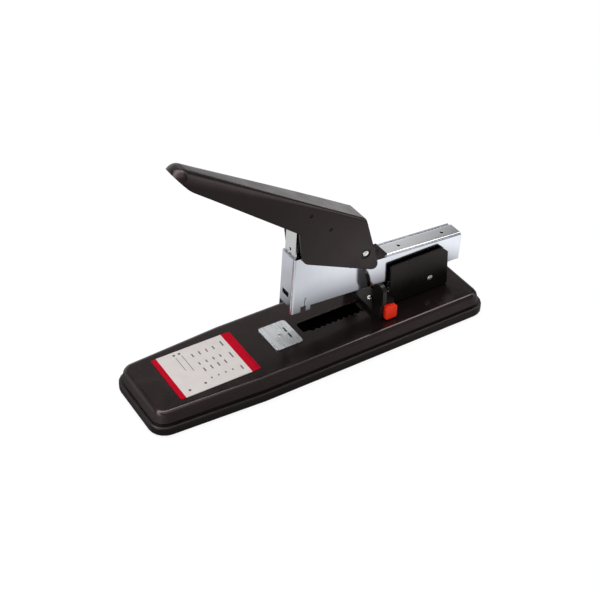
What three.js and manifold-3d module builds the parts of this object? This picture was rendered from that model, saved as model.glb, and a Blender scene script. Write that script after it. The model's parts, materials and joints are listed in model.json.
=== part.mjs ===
// A heavy-duty, long-handled desk stapler for 23-series staples (13 mm crown).
// Millimetres, +Z up, +X toward the hinge end, origin at the middle of the base's underside.
//
// The base carries the anvil, the paper guide's slot and the rear bracket. The magazine swings
// on the hinge pin, the handle swings on the magazine, and a lever inside the handle pushes the
// driver down through the head.

import * as THREE from 'three';
import { mergeVertices } from 'three/addons/utils/BufferGeometryUtils.js';
import Module from 'manifold-3d';

const wasm = await Module();
wasm.setup();

// ---------------------------------------------------------------- driving dimensions

// Clearances
const seatGap = 0.3; // between a piece and what it rests on in a turned group
const slideGap = 0.4; // between pieces that slide past each other
const pinPlay = 0.25; // round every pin, per side

// Base
const baseLength = 300;
const baseRearWidth = 85;
const baseFrontWidth = 74.3;
const taperLength = 90; // front stretch over which the sides draw in
const baseCornerRadius = 14;
const baseHeight = 19;
const footRadius = 8;
const footHeight = 0.8; // how far a foot stands below the tray
const footPocket = 1.2; // how far it is let into the tray
const footInset = 19; // foot centre from the base's edges
const trayFloor = 2.5;
const trayWall = 6.5;
const trayLedgeHeight = 8.3;
const trayEdgeRound = 1.5;
const coverInset = 2.6; // cover's lower edge from the tray's outside
const coverSheet = 1.5;
const coverLean = 1.4; // how far the cover's wall leans in below its fillet
const coverFillet = 4.5;
const grooveHeight = 2.2; // shadow groove between tray and cover
const grooveDepth = 0.8;
const ribHeight = 2;

// Anvil and label
const anvilLength = 24.4;
const anvilWidth = 30.5;
const anvilCorner = 3;
const anvilProud = 1;
const anvilThickness = 2.8;
const anvilGrooveSetback = 5.9; // clinch grooves from the anvil's rear edge
const clinchRadius = 6;
const clinchDepth = 0.8;
const clinchWidth = 1.8;
const clinchSpacing = 7.8;
const anvilRivetRadius = 1.5;
const supportSheet = 2.5;
const supportOverhang = 4;
const labelFrontMargin = 27.2;
const labelAnvilGap = 19.9;
const labelWidth = 51;
const labelThickness = 0.4;
const labelCorner = 1.2;

// Guide slot in the cover
const slotAnvilGap = 5.5;
const slotHalfWidth = 6.5;
const slotToothTip = 5.6;
const slotToothRoot = 7.8;
const slotToothPitch = 5.2;
const slotRearMargin = 1.6; // slot's end from the rear bracket

// Hinge and rear bracket
const hingeRearMargin = 39.6; // hinge pin from the base's rear end
const hingeHeight = 32.1;
const hingePinRadius = 2.5;
const bracketSheet = 1.9;
const bracketForward = 39.2; // cheeks' front edge from the hinge pin
const bracketBack = 18;
const bracketHeight = 57.4;
const bracketLean = 1.4; // how far the rear edge leans in below the chamfer
const bracketChamferRun = 6.7;
const bracketChamferDrop = 5;
const bracketWeb = 2;
const bracketRivetSpots = [-14, 12];
const rivetHeadRadius = 3.5;
const rivetHeadHeight = 1.3;
const rivetShankRadius = 2;
const liftSpringSetback = 26.4; // in front of the hinge pin
const liftSpringRadius = 5.2;
const liftSpringWire = 1.4;
const liftSpringTurns = 4;

// Magazine, in its own frame: origin on the hinge pin, X rearward, Z up, front raised at rest
const magazineTilt = 4;
const channelHalf = 7.5;
const channelSheet = 0.9;
const channelBottom = 6.5;
const channelTop = 31.3;
const channelFront = -120;
const channelRear = 31.2;
const channelCorner = 1.6;
const roofHoleRadius = 1.4;
const roofHoleSpots = [-25.7, 17];
const railHalf = 5.6;
const railSheet = 1;
const railTop = 29.2;
const railFlange = 7.2;
const railFlangeFrontMargin = 22;
const capLength = 7;

// Head
const headFront = -129.8;
const headRear = -112.3;
const headHalf = 9.4;
const headSheet = 1.5;
const headCorner = 2.2;
const headTop = 53.4;
const headBottom = 3.2;
const headLegLength = 8.5;
const headNotchWidth = 3.4;
const headNotchTop = 11.4;
const headSlitWidth = 1.5;
const headSlitTop = 15.8;
const frontPlateBottom = 9;
const windowHalf = 4.5;
const windowBottom = 16.7;
const windowTop = 21.2;

// The head's side plates run back along the channel to its rear end
const flankBottom = 7.5;
const flankTop = 30.9;
const flankStep = 3.2; // its rise over the channel just ahead of the saddle
const flankShoulder = [-104, 50.5]; // where the tall front starts to drop
const flankRearMargin = 0.5;

// Driver
const driverStroke = 26.5;
const bladeThickness = 1.6;
const bladeTipHalf = 6.4;
const bladeHalf = 7.3;
const bladeShoulder = 51;
const bladeTop = 81.3;
const bladeHoleHeight = 58.5;
const bladeHoleRadius = 1.3;
const carrierSheet = 1.2;
const carrierFlange = 1.6;
const carrierTop = 70.5;
const drivePinRadius = 2.5;
const drivePinHeight = 63.1;
const drivePinSetback = 4.5; // pin's centre behind the carrier's web

// Saddle and handle pivot
const saddleSheet = 1.7;
const saddleHalf = 9.9;
const saddleFront = -78;
const saddleRear = -42.4;
const saddleBossMargin = 1; // its cheeks round the pin, past the lever's boss
const pivotForward = 66.2; // handle pin in front of the hinge pin
const pivotHeight = 42.5;
const handlePinRadius = 2.6;
const handlePinProud = 1; // shank past the handle's sides, before its dome
const saddleRivetSpots = [-75.2, -47.5];
const saddleRivetShank = 1.5;
const saddleRivetHead = 2.5;
const saddleNotch = 3.8; // rear corners, cut back to the channel's roof
const saddleNotchHalf = 7.9;

// Magazine hinge bracket
const yokeSheet = 1.4;
const yokeFront = -28;
const yokeRear = 12;
const yokeBottom = -6;
const yokeTop = 20;
const yokeWeb = 1.5;

// Handle, in its own frame: origin on the handle pin, -X toward the grip, Z square to its top
const handleTilt = 31.25; // to the base, at rest
const handleHalf = 11.8;
const handleSheet = 1.3;
const handleTop = 27.5;
const handleTopFillet = 4;
const handleLength = 195.6; // pin to tip
const handleNoseRadius = 5;
const handleTipCorner = 7;
const handleRearTop = -17;
const skirtRear = [22.9, -10.8];
const skirtFront = [-54.8, -19.5];
const throatCorner = [-71.7, 3.2];
const gripStart = [-155, 12.9];
const gripBend = [-182.8, 15.8];
const noseRimHeight = 21.7;
const pivotHoleRadius = 4.4;
const crossPinRadius = 1.15;
const crossPinSpots = [[-45.5, 12.5], [-69.7, 19.1]];

// Drive lever
const leverHalf = 5.2;
const leverSheet = 2;
const leverFloorGap = 1.7; // between its boss and the saddle's floor
const leverLugRadius = 4.5;
const leverArm = 2.2; // thickness of the fork's lower arm
const forkPlay = 0.55;
const returnCoilShare = 0.327; // of the room round the pin over the saddle's floor
const returnWire = 1.4;
const returnTurns = 3;

// Staple pusher
const pusherLength = 25;
const pusherSheet = 0.5;
const rodRadius = 2;
const rodHeight = 18;
const pusherCoilRadius = 3.3;
const pusherWire = 0.8;
const pusherTurns = 17;

// Paper guide
const guideThickness = 3.5;
const guideInner = 13.3;
const guideEdgeMargin = 14.5; // uprights from the base's rear sides
const guideTop = 52.5;
const guideInnerRound = 9;
const guideOuterRound = 5;
const guideBarDepth = 12;
const guideBarHeight = 23;
const guideRivetShank = 1.5;
const guideRivetHead = 2.5;
const guideRivetSetback = 2.2; // in front of the pawl
const shoeThickness = 3;
const shoeHalf = 12;
const shoeLength = 20;

// Release button
const buttonWidth = 10.8;
const buttonHeight = 12;
const buttonThickness = 3.2;
const buttonTravel = 3;
const buttonCorner = 2;
const buttonBase = 20.4;
const buttonSetback = 1.6; // in front of the bar's rear edge
const buttonProud = 0.5; // its face past the upright's outer edge
const stemHalf = 3.5;
const stemHeight = 8;
const pawlWidth = 4;
const pawlSheet = 1.5;

// ---------------------------------------------------------------- derived places

const hingeX = baseLength / 2 - hingeRearMargin;
const trayTop = trayLedgeHeight + grooveHeight;
const coverUnderside = baseHeight - coverSheet;
const trayFloorTop = footHeight + trayFloor;

const bladeFront = headFront + headSheet + seatGap;
const bladeBack = bladeFront + bladeThickness;
const carrierFront = bladeBack + seatGap;
const carrierBack = carrierFront + carrierSheet;
const carrierBottom = channelTop + driverStroke + 0.8;
const bladeBottom = headBottom + driverStroke + 0.9;
const drivePinX = carrierBack + drivePinSetback;
const railFront = bladeBack + slideGap;
const capFront = channelRear - capLength;
const pivotX = -pivotForward;
const saddleFloor = channelTop + seatGap + saddleSheet;
const pivotRoom = pivotHeight - saddleFloor;
const leverBossRadius = pivotRoom - leverFloorGap;
const saddleBossRadius = leverBossRadius + saddleBossMargin;
const returnCoilRadius = (
  handlePinRadius + returnWire / 2 + returnCoilShare * (pivotRoom - handlePinRadius - returnWire)
);

const closedTilt = -6.5; // magazine's tilt with the head down on the anvil
const landing = placeInBase(bladeFront + bladeThickness / 2, headBottom, closedTilt);
const anvilRear = landing.x + anvilGrooveSetback;
const anvilFront = anvilRear - anvilLength;
const anvilX = (anvilFront + anvilRear) / 2;
const anvilTop = baseHeight + anvilProud;
const anvilBottom = anvilTop - anvilThickness;

const yokeInner = headHalf + seatGap;
const yokeOuter = yokeInner + yokeSheet;
const bracketInner = yokeOuter + slideGap;
const bracketFront = hingeX - bracketForward;
const slotFront = anvilRear + slotAnvilGap;
const slotRear = bracketFront - slotRearMargin;
const guideRear = slotRear;
const guideFront = guideRear - guideBarDepth - guideThickness;
const guideMiddle = guideFront + guideThickness;
const guideOuter = baseRearWidth / 2 - guideEdgeMargin;
const guideInnerFillet = Math.min(guideInnerRound, guideOuter - guideInner - guideOuterRound);
const guideLift = baseHeight + seatGap;
const pawlX = slotRear - 1 - slotToothPitch / 2; // over the rearmost gap between two teeth
const rivetX = pawlX - pawlWidth / 2 - slideGap - guideRivetSetback;

const buttonFace = guideOuter + buttonProud;
const buttonBack = buttonFace - buttonThickness;
const buttonRear = guideRear - buttonSetback;
const stemX = buttonRear - buttonWidth / 2;
const stemLow = buttonBase + 1.6;
const stemHigh = stemLow + stemHeight;
const stemDepth = buttonTravel + pawlWidth; // into the housing when the button is out
const housingFront = buttonTravel + seatGap - buttonBack;
const housingRear = seatGap - guideInner;

const pinReach = Math.hypot(drivePinX - pivotX, drivePinHeight - pivotHeight);
const pinAngle = Math.atan2(drivePinHeight - pivotHeight, pivotX - drivePinX);
const leverReach = pivotX - carrierBack - slideGap;

// Where a point of the magazine lies over the base when the magazine has this tilt.
function placeInBase(x, z, tilt) {
  const angle = radians(tilt);
  return {
    x: hingeX + x * Math.cos(angle) + z * Math.sin(angle),
    z: hingeHeight - x * Math.sin(angle) + z * Math.cos(angle),
  };
}

function radians(degrees) {
  return degrees * Math.PI / 180;
}

// ---------------------------------------------------------------- outlines

// A closed outline whose corners are [x, y, radius]; a corner without a radius stays sharp.
function rounded(corners, steps = 5) {
  const points = [];
  corners.forEach(([x, y, radius = 0], i) => {
    const here = new THREE.Vector2(x, y);
    if (radius === 0) {
      points.push(here);
      return;
    }
    const last = corners.at(i - 1);
    const next = corners[(i + 1) % corners.length];
    const back = new THREE.Vector2(last[0], last[1]).sub(here).normalize();
    const on = new THREE.Vector2(next[0], next[1]).sub(here).normalize();
    const half = back.angleTo(on) / 2;
    const centre = back.clone().add(on).setLength(radius / Math.sin(half)).add(here);
    const reach = radius / Math.tan(half);
    const start = back.multiplyScalar(reach).add(here).sub(centre).angle();
    const end = on.multiplyScalar(reach).add(here).sub(centre).angle();
    const turn = Math.atan2(Math.sin(end - start), Math.cos(end - start));
    for (let step = 0; step <= steps; step++) {
      const angle = start + turn * step / steps;
      points.push(new THREE.Vector2(Math.cos(angle), Math.sin(angle)).multiplyScalar(radius).add(centre));
    }
  });
  return points;
}

function rectangle(left, right, low, high, radius = 0) {
  return rounded([[left, low, radius], [right, low, radius], [right, high, radius], [left, high, radius]]);
}

// The base's plan drawn in by an inset: parallel at the rear, drawn in toward the front.
function basePlan(inset) {
  const front = inset - baseLength / 2;
  const rear = baseLength / 2 - inset;
  const slope = (baseRearWidth - baseFrontWidth) / 2 / taperLength;
  const bend = taperLength - baseLength / 2 + inset * Math.tan(Math.atan(slope) / 2);
  const rearHalf = baseRearWidth / 2 - inset;
  const frontHalf = baseFrontWidth / 2 + inset * slope - inset * Math.hypot(1, slope);
  const corner = baseCornerRadius - inset;
  return rounded([
    [front, -frontHalf, corner],
    [bend, -rearHalf],
    [rear, -rearHalf, corner],
    [rear, rearHalf, corner],
    [bend, rearHalf],
    [front, frontHalf, corner],
  ]);
}

// Levels [inset, height] of a quarter round that starts at an inset and a height.
function roundOver(inset, height, radius, steps = 4) {
  return Array.from({ length: steps + 1 }, (_, step) => {
    const angle = step / steps * Math.PI / 2;
    return [inset + radius * (1 - Math.cos(angle)), height + radius * Math.sin(angle)];
  });
}

// ---------------------------------------------------------------- solids

function solidOf(geometry) {
  const bare = new THREE.BufferGeometry();
  bare.setAttribute('position', geometry.getAttribute('position'));
  bare.setIndex(geometry.getIndex());
  const merged = mergeVertices(bare, 1e-4);
  return new wasm.Manifold(new wasm.Mesh({
    numProp: 3,
    vertProperties: Float32Array.from(merged.getAttribute('position').array),
    triVerts: Uint32Array.from(merged.getIndex().array),
  }));
}

function geometryOf(solid) {
  const mesh = solid.getMesh();
  const geometry = new THREE.BufferGeometry();
  geometry.setAttribute('position', new THREE.BufferAttribute(mesh.vertProperties, 3));
  geometry.setIndex(new THREE.BufferAttribute(mesh.triVerts, 1));
  geometry.computeVertexNormals();
  return geometry;
}

const join = (first, ...others) => others.reduce((whole, other) => whole.add(other), first);
const cut = (first, ...others) => others.reduce((whole, other) => whole.subtract(other), first);
const common = (first, ...others) => others.reduce((whole, other) => whole.intersect(other), first);

function extruded(outline, depth) {
  return new THREE.ExtrudeGeometry(new THREE.Shape(outline), { depth, bevelEnabled: false });
}

// A plan outline (X, Y) raised from one height to another.
function slab(outline, low, high) {
  return solidOf(extruded(outline, high - low).translate(0, 0, low));
}

// A side outline (X, Z) spread across Y.
function plate(outline, right, left) {
  return solidOf(extruded(outline, left - right).rotateX(Math.PI / 2).translate(0, left, 0));
}

// An end outline (Y, Z) run along X.
function run(outline, front, rear) {
  const axes = new THREE.Matrix4().makeBasis(
    new THREE.Vector3(0, 1, 0),
    new THREE.Vector3(0, 0, 1),
    new THREE.Vector3(1, 0, 0),
  );
  return solidOf(extruded(outline, rear - front).applyMatrix4(axes).translate(front, 0, 0));
}

function block(front, rear, right, left, low, high) {
  return slab(rectangle(front, rear, right, left), low, high);
}

// A disc or pin across Y, up Z or along X.
function acrossY(x, z, radius, right, left, sides = 20) {
  const geometry = new THREE.CylinderGeometry(radius, radius, left - right, sides);
  return solidOf(geometry.translate(x, (left + right) / 2, z));
}

function upZ(x, y, radius, low, high, sides = 20) {
  const geometry = new THREE.CylinderGeometry(radius, radius, high - low, sides).rotateX(Math.PI / 2);
  return solidOf(geometry.translate(x, y, (low + high) / 2));
}

function alongX(y, z, radius, front, rear, sides = 16) {
  const geometry = new THREE.CylinderGeometry(radius, radius, rear - front, sides).rotateZ(Math.PI / 2);
  return solidOf(geometry.translate((front + rear) / 2, y, z));
}

// A solid and its mirror image across the middle plane.
function bothSides(make) {
  return join(make(1), make(-1));
}

// A plate on one side of the middle plane; side is 1 for +Y and -1 for -Y.
function sidePlate(outline, inner, outer, side) {
  return side > 0 ? plate(outline, inner, outer) : plate(outline, -outer, -inner);
}

// The base's plan lofted through levels of [inset, height].
function baseLoft(levels) {
  const rings = levels.map(([inset, height]) => basePlan(inset).map((at) => [at.x, at.y, height]));
  const count = rings[0].length;
  const faces = [];
  for (let ring = 0; ring < rings.length - 1; ring++) {
    for (let i = 0; i < count; i++) {
      const here = ring * count + i;
      const next = ring * count + (i + 1) % count;
      faces.push(here, next, next + count, here, next + count, here + count);
    }
  }
  const lid = THREE.ShapeUtils.triangulateShape(basePlan(levels[0][0]), []);
  const top = (rings.length - 1) * count;
  lid.forEach(([a, b, c]) => faces.push(c, b, a, top + a, top + b, top + c));
  const geometry = new THREE.BufferGeometry();
  geometry.setAttribute('position', new THREE.Float32BufferAttribute(rings.flat(2), 3));
  geometry.setIndex(faces);
  return solidOf(geometry);
}

// A pin turned about Z: its profile is [radius, height], from the axis back to the axis.
function turned(profile, sides = 20) {
  const points = profile.map(([radius, height]) => new THREE.Vector2(radius, height));
  return new THREE.LatheGeometry(points, sides).rotateX(Math.PI / 2);
}

// A pin across Y with domed ends, centred on the middle plane.
function domedPin(x, z, radius, half, dome) {
  const ends = (side) => [0, 0.5, 0.85].map((share) => [
    radius * Math.sqrt(1 - share * share), side * (half - dome + dome * share),
  ]);
  const profile = [[0, -half], ...ends(-1).reverse(), ...ends(1), [0, half]];
  const points = profile.map(([across, along]) => new THREE.Vector2(across, along));
  return solidOf(new THREE.LatheGeometry(points, 20).translate(x, 0, z));
}

// Round wire along a curve.
function wire(curve, radius, steps, sides = 6) {
  const section = Array.from({ length: sides }, (_, i) => {
    const angle = i / sides * 2 * Math.PI;
    return new THREE.Vector2(radius * Math.cos(angle), radius * Math.sin(angle));
  });
  return solidOf(new THREE.ExtrudeGeometry(new THREE.Shape(section), { extrudePath: curve, steps }));
}

// A curve through the points that a function gives for shares from 0 to 1.
function curveThrough(at, count) {
  const points = Array.from({ length: count + 1 }, (_, i) => at(i / count));
  return new THREE.CatmullRomCurve3(points);
}

// ---------------------------------------------------------------- the scene graph

const paints = {
  black: { color: 0x2e2a29, roughness: 0.42, metalness: 0.2 },
  plastic: { color: 0x262424, roughness: 0.55, metalness: 0 },
  rubber: { color: 0x1c1b1b, roughness: 0.9, metalness: 0 },
  chrome: { color: 0xc8ccd0, roughness: 0.2, metalness: 1 },
  steel: { color: 0x9a9ea2, roughness: 0.35, metalness: 1 },
  anvil: { color: 0xd0d2d4, roughness: 0.3, metalness: 0.9 },
  label: { color: 0xe0dbd6, roughness: 0.5, metalness: 0 },
  red: { color: 0xd8302a, roughness: 0.4, metalness: 0 },
};

const stapler = new THREE.Group();

const magazine = new THREE.Group();
magazine.position.set(hingeX, 0, hingeHeight);
magazine.rotation.y = radians(magazineTilt);
stapler.add(magazine);

const handle = new THREE.Group();
handle.position.set(pivotX, 0, pivotHeight);
handle.rotation.y = radians(handleTilt - magazineTilt);
magazine.add(handle);

function add(group, name, paint, solid) {
  const mesh = new THREE.Mesh(geometryOf(solid), new THREE.MeshStandardMaterial(paints[paint]));
  mesh.name = name;
  group.add(mesh);
}

// ---------------------------------------------------------------- base

function baseTray() {
  const stepInset = coverInset + grooveDepth;
  const ribInset = coverInset + coverSheet + 1;
  const body = baseLoft([
    [0.6, footHeight],
    [0, footHeight + 0.6],
    ...roundOver(0, trayLedgeHeight - trayEdgeRound, trayEdgeRound, 3),
    [stepInset, trayLedgeHeight],
    [stepInset, trayTop],
    [ribInset, trayTop],
    [ribInset, trayTop + ribHeight],
  ]);
  const inside = baseLoft([[trayWall, trayFloorTop], [trayWall, baseHeight]]);
  const pockets = footSpots().map(([x, y]) => (
    upZ(x, y, footRadius + pinPlay, 0, footHeight + footPocket, 24)
  ));
  return cut(body, inside, ...pockets);
}

function footSpots() {
  const frontX = footInset - baseLength / 2;
  const rearX = baseLength / 2 - footInset;
  const frontY = baseFrontWidth / 2 - footInset + 4;
  const rearY = baseRearWidth / 2 - footInset + 4;
  return [[frontX, -frontY], [frontX, frontY], [rearX, -rearY], [rearX, rearY]];
}

function foot([x, y]) {
  return upZ(x, y, footRadius, 0, footHeight + footPocket, 24);
}

function coverShell() {
  const filletStart = baseHeight - coverFillet;
  const outside = baseLoft([
    [coverInset, trayTop],
    ...roundOver(coverInset + coverLean, filletStart, coverFillet),
  ]);
  const innerInset = coverInset + coverSheet;
  const inside = baseLoft([
    [innerInset, trayTop - 1],
    [innerInset, trayTop],
    ...roundOver(innerInset + coverLean, filletStart, coverFillet - coverSheet),
  ]);
  return cut(outside, inside);
}

// The slot that the paper guide runs in: one straight edge and one edge of round teeth.
function slotOutline() {
  const teeth = Math.floor((slotRear - slotFront - 2) / slotToothPitch);
  const depth = slotToothRoot - slotToothTip;
  const points = [];
  for (let tooth = 0; tooth < teeth; tooth++) {
    const rear = slotRear - 1 - tooth * slotToothPitch;
    for (let step = 0; step < 6; step++) {
      const share = step / 6;
      const bow = Math.sqrt(Math.max(0, 1 - (2 * share - 1) ** 2));
      points.push(new THREE.Vector2(rear - share * slotToothPitch, -slotToothTip - depth * bow));
    }
  }
  const end = slotRear - 1 - teeth * slotToothPitch;
  const corners = [[end, -slotToothTip], [slotFront, -slotToothTip], [slotFront, slotHalfWidth, 2],
    [slotRear, slotHalfWidth, 2], [slotRear, -slotToothTip]];
  return [...points, ...rounded(corners)];
}

function baseCover() {
  const slot = slab(slotOutline(), coverUnderside - 1, baseHeight + 1);
  const anvilHole = slab(anvilOutline(seatGap), coverUnderside - 1, baseHeight + 1);
  const rivetHoles = bracketRivetSpots.map((spot) => (
    upZ(hingeX + spot, 0, rivetShankRadius + pinPlay, coverUnderside - 1, baseHeight + 1, 16)
  ));
  return cut(coverShell(), slot, anvilHole, ...rivetHoles);
}

function anvilOutline(grow) {
  const half = anvilWidth / 2 + grow;
  return rectangle(anvilFront - grow, anvilRear + grow, -half, half, anvilCorner + grow);
}

// Two bowed grooves turn the staple's legs inward.
function anvilPlate() {
  const grooves = [-1, 1].map((side) => alongX(
    side * clinchSpacing / 2,
    anvilTop + clinchRadius - clinchDepth,
    clinchRadius,
    landing.x - clinchWidth / 2,
    landing.x + clinchWidth / 2,
    40,
  ));
  const rivetHole = upZ(anvilX, 0, anvilRivetRadius + pinPlay, anvilBottom - 1, anvilTop + 1, 16);
  return cut(slab(anvilOutline(0), anvilBottom, anvilTop), rivetHole, ...grooves);
}

// A pressed bridge on the tray's floor carries the anvil.
function anvilSupport() {
  const front = anvilFront - supportOverhang;
  const rear = anvilRear + supportOverhang;
  const half = anvilWidth / 2 + supportOverhang;
  const outside = rectangle(front, rear, trayFloorTop, anvilBottom);
  const inside = rectangle(
    front + supportSheet, rear - supportSheet, trayFloorTop - 1, anvilBottom - supportSheet,
  );
  const rivetHole = upZ(anvilX, 0, anvilRivetRadius + pinPlay, trayFloorTop, anvilBottom + 1, 16);
  return cut(plate(outside, -half, half), plate(inside, -half - 1, half + 1), rivetHole);
}

function anvilRivet() {
  const tail = anvilBottom - supportSheet;
  const shank = upZ(anvilX, 0, anvilRivetRadius, tail, anvilTop - 0.3, 16);
  return join(shank, upZ(anvilX, 0, 2 * anvilRivetRadius, tail - 1.3, tail, 16));
}

function labelPlate() {
  const front = labelFrontMargin - baseLength / 2;
  const rear = anvilFront - labelAnvilGap;
  const outline = rectangle(front, rear, -labelWidth / 2, labelWidth / 2, labelCorner);
  return slab(outline, baseHeight, baseHeight + labelThickness);
}

// ---------------------------------------------------------------- rear bracket and hinge

function rearBracket() {
  const outer = bracketInner + bracketSheet;
  const webTop = baseHeight + bracketWeb;
  const outside = rounded([
    [-outer, baseHeight, 2.5], [outer, baseHeight, 2.5], [outer, bracketHeight], [-outer, bracketHeight],
  ]);
  const inside = rounded([
    [-bracketInner, webTop, 1], [bracketInner, webTop, 1],
    [bracketInner, bracketHeight + 1], [-bracketInner, bracketHeight + 1],
  ]);
  const rear = hingeX + bracketBack;
  const side = rounded([
    [bracketFront, baseHeight], [rear, baseHeight],
    [rear - bracketLean, bracketHeight - bracketChamferDrop, 1],
    [rear - bracketChamferRun, bracketHeight, 1],
    [bracketFront, bracketHeight, 1.5],
  ], 3);
  const channel = cut(run(outside, bracketFront, rear), run(inside, bracketFront - 1, rear + 1));
  const hingeHole = acrossY(hingeX, hingeHeight, hingePinRadius + pinPlay, -outer - 1, outer + 1);
  const rivetHoles = bracketRivetSpots.map((spot) => (
    upZ(hingeX + spot, 0, rivetShankRadius + pinPlay, baseHeight - 1, webTop + 1, 16)
  ));
  return cut(common(channel, plate(side, -outer - 1, outer + 1)), hingeHole, ...rivetHoles);
}

// A round-headed rivet that clamps a sheet stack between two heights.
function rivet(x, low, high, shank, head, headHeight) {
  const profile = [
    [0, low - headHeight], [head * 0.8, low - headHeight], [head, low], [shank, low], [shank, high],
    [head, high], [head * 0.8, high + headHeight * 0.7], [0, high + headHeight],
  ];
  return solidOf(turned(profile, 16).translate(x, 0, 0));
}

function bracketRivet(spot) {
  const webTop = baseHeight + bracketWeb;
  return rivet(
    hingeX + spot, coverUnderside, webTop, rivetShankRadius, rivetHeadRadius, rivetHeadHeight,
  );
}

function hingePin() {
  return domedPin(hingeX, hingeHeight, hingePinRadius, bracketInner + bracketSheet + 0.8, 0.8);
}

// A coil spring on Z with flattened end turns.
function coilUp(x, radius, thick, turns, low, high) {
  const from = low + thick / 2;
  const rise = high - low - thick;
  const rest = 0.75 / turns;
  return wire(curveThrough((share) => {
    const angle = share * turns * 2 * Math.PI;
    const climb = THREE.MathUtils.clamp((share - rest) / (1 - 2 * rest), 0, 1);
    const z = from + climb * rise;
    return new THREE.Vector3(x + radius * Math.cos(angle), radius * Math.sin(angle), z);
  }, turns * 8), thick / 2, turns * 12);
}

function liftSpring() {
  const under = placeInBase(-liftSpringSetback - liftSpringRadius, yokeWebBottom(), magazineTilt);
  const over = placeInBase(-liftSpringSetback + liftSpringRadius, yokeWebBottom(), magazineTilt);
  const low = baseHeight + bracketWeb + seatGap;
  const high = Math.min(under.z, over.z) - seatGap;
  return coilUp(hingeX - liftSpringSetback, liftSpringRadius, liftSpringWire, liftSpringTurns, low, high);
}

// ---------------------------------------------------------------- magazine

// An upside-down U of sheet, open below.
function magazineChannel() {
  const inner = channelHalf - channelSheet;
  const outside = rounded([
    [-channelHalf, channelBottom], [channelHalf, channelBottom],
    [channelHalf, channelTop, channelCorner], [-channelHalf, channelTop, channelCorner],
  ], 3);
  const roof = channelTop - channelSheet;
  const inside = rounded([
    [-inner, channelBottom - 1], [inner, channelBottom - 1],
    [inner, roof, channelCorner - channelSheet], [-inner, roof, channelCorner - channelSheet],
  ], 3);
  const holes = roofHoleSpots.map((x) => upZ(x, 0, roofHoleRadius, roof - 1, channelTop + 1, 16));
  const shell = cut(
    run(outside, channelFront, channelRear),
    run(inside, channelFront - 1, channelRear + 1),
  );
  return cut(shell, ...holes);
}

// The U that the staples straddle, with feet that close the channel from below.
function coreRail() {
  const flangeTop = channelBottom - seatGap;
  const flangeBottom = flangeTop - railSheet;
  const rear = capFront - slideGap;
  const walls = cut(
    run(rectangle(-railHalf, railHalf, flangeBottom, railTop), railFront, rear),
    run(rectangle(
      railSheet - railHalf, railHalf - railSheet, flangeTop, railTop + 1,
    ), railFront - 1, rear + 1),
  );
  const feet = run(
    rectangle(-railFlange, railFlange, flangeBottom, flangeTop), railFront + railFlangeFrontMargin, rear,
  );
  return join(walls, feet);
}

// The side of the chromed head: tall in front, then low along the channel to its rear end.
function headSide() {
  const rear = channelRear - flankRearMargin;
  const drop = saddleFront - slideGap;
  return rounded([
    [headFront, headBottom], [headRear, headBottom], [headRear, flankBottom], [rear, flankBottom],
    [rear, flankTop, 1], [drop, flankTop, 1], [drop, channelTop + flankStep, 2],
    [...flankShoulder, 8], [headRear, headTop, 3], [headFront, headTop],
  ]);
}

// One sheet folded round the front: closed in front, open above, its legs cut back below.
function headCover() {
  const inner = headHalf - headSheet;
  const long = channelRear + headSheet;
  const outside = rectangle(headFront, long, -headHalf, headHalf, headCorner);
  const inside = rectangle(headFront + headSheet, long + 5, -inner, inner, headCorner - headSheet);
  const shell = common(
    cut(slab(outside, headBottom, headTop), slab(inside, headBottom - 1, headTop + 1)),
    plate(headSide(), -headHalf - 1, headHalf + 1),
  );
  const notchFront = headFront + headLegLength;
  const slitFront = notchFront + headNotchWidth;
  const notch = rectangle(notchFront, slitFront, headBottom - 1, headNotchTop);
  const slit = rectangle(slitFront - 0.1, slitFront + headSlitWidth, headBottom - 1, headSlitTop);
  const wide = headHalf + 1;
  return cut(
    shell,
    plate(notch, -wide, wide),
    plate(slit, -wide, wide),
    block(headFront - 1, headFront + headSheet + 0.5, -inner, inner, headBottom - 1, frontPlateBottom),
    block(headFront - 1, headFront + headSheet + 0.5, -windowHalf, windowHalf, windowBottom, windowTop),
  );
}

// Sheet saddle on the channel's roof, with two cheeks that hold the handle pin.
function saddleBracket() {
  const low = channelTop + seatGap;
  const floor = low + saddleSheet;
  const bossRear = pivotX + saddleBossRadius;
  const bossFront = pivotX - saddleBossRadius;
  const ramp = rounded([
    [saddleFront, low], [saddleRear, low], [saddleRear, floor], [saddleRear - 3.6, floor + 2.2, 1],
    [bossRear - 1, floor + 4], [bossFront + 1, floor + 3], [saddleFront, floor + 1],
  ], 4);
  const inner = saddleHalf - saddleSheet + 0.1;
  const wide = saddleHalf + 1;
  const cheeks = join(
    plate(ramp, -saddleHalf, saddleHalf),
    block(bossFront, bossRear, -saddleHalf, saddleHalf, low, pivotHeight),
    acrossY(pivotX, pivotHeight, saddleBossRadius, -saddleHalf, saddleHalf, 32),
  );
  const rivetHoles = saddleRivetSpots.map((x) => (
    upZ(x, 0, saddleRivetShank + pinPlay, low - 1, floor + 1, 12)
  ));
  const rearCorners = [-1, 1].map((side) => block(
    saddleRear - saddleNotch, saddleRear + 1, Math.min(side * saddleNotchHalf, side * wide),
    Math.max(side * saddleNotchHalf, side * wide), low - 1, pivotHeight,
  ));
  return cut(
    cheeks,
    ...rearCorners,
    block(saddleFront - 1, saddleRear + 1, -inner, inner, floor, pivotHeight + saddleBossRadius + 1),
    acrossY(pivotX, pivotHeight, handlePinRadius + pinPlay, -wide, wide),
    ...rivetHoles,
  );
}

function saddleRivet(x) {
  const low = channelTop + seatGap;
  const floor = low + saddleSheet + 0.05;
  const profile = [
    [0, low], [saddleRivetShank, low], [saddleRivetShank, floor], [saddleRivetHead, floor],
    [saddleRivetHead - 0.5, floor + 0.5], [0, floor + 0.7],
  ];
  return solidOf(turned(profile, 12).translate(x, 0, 0));
}

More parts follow.
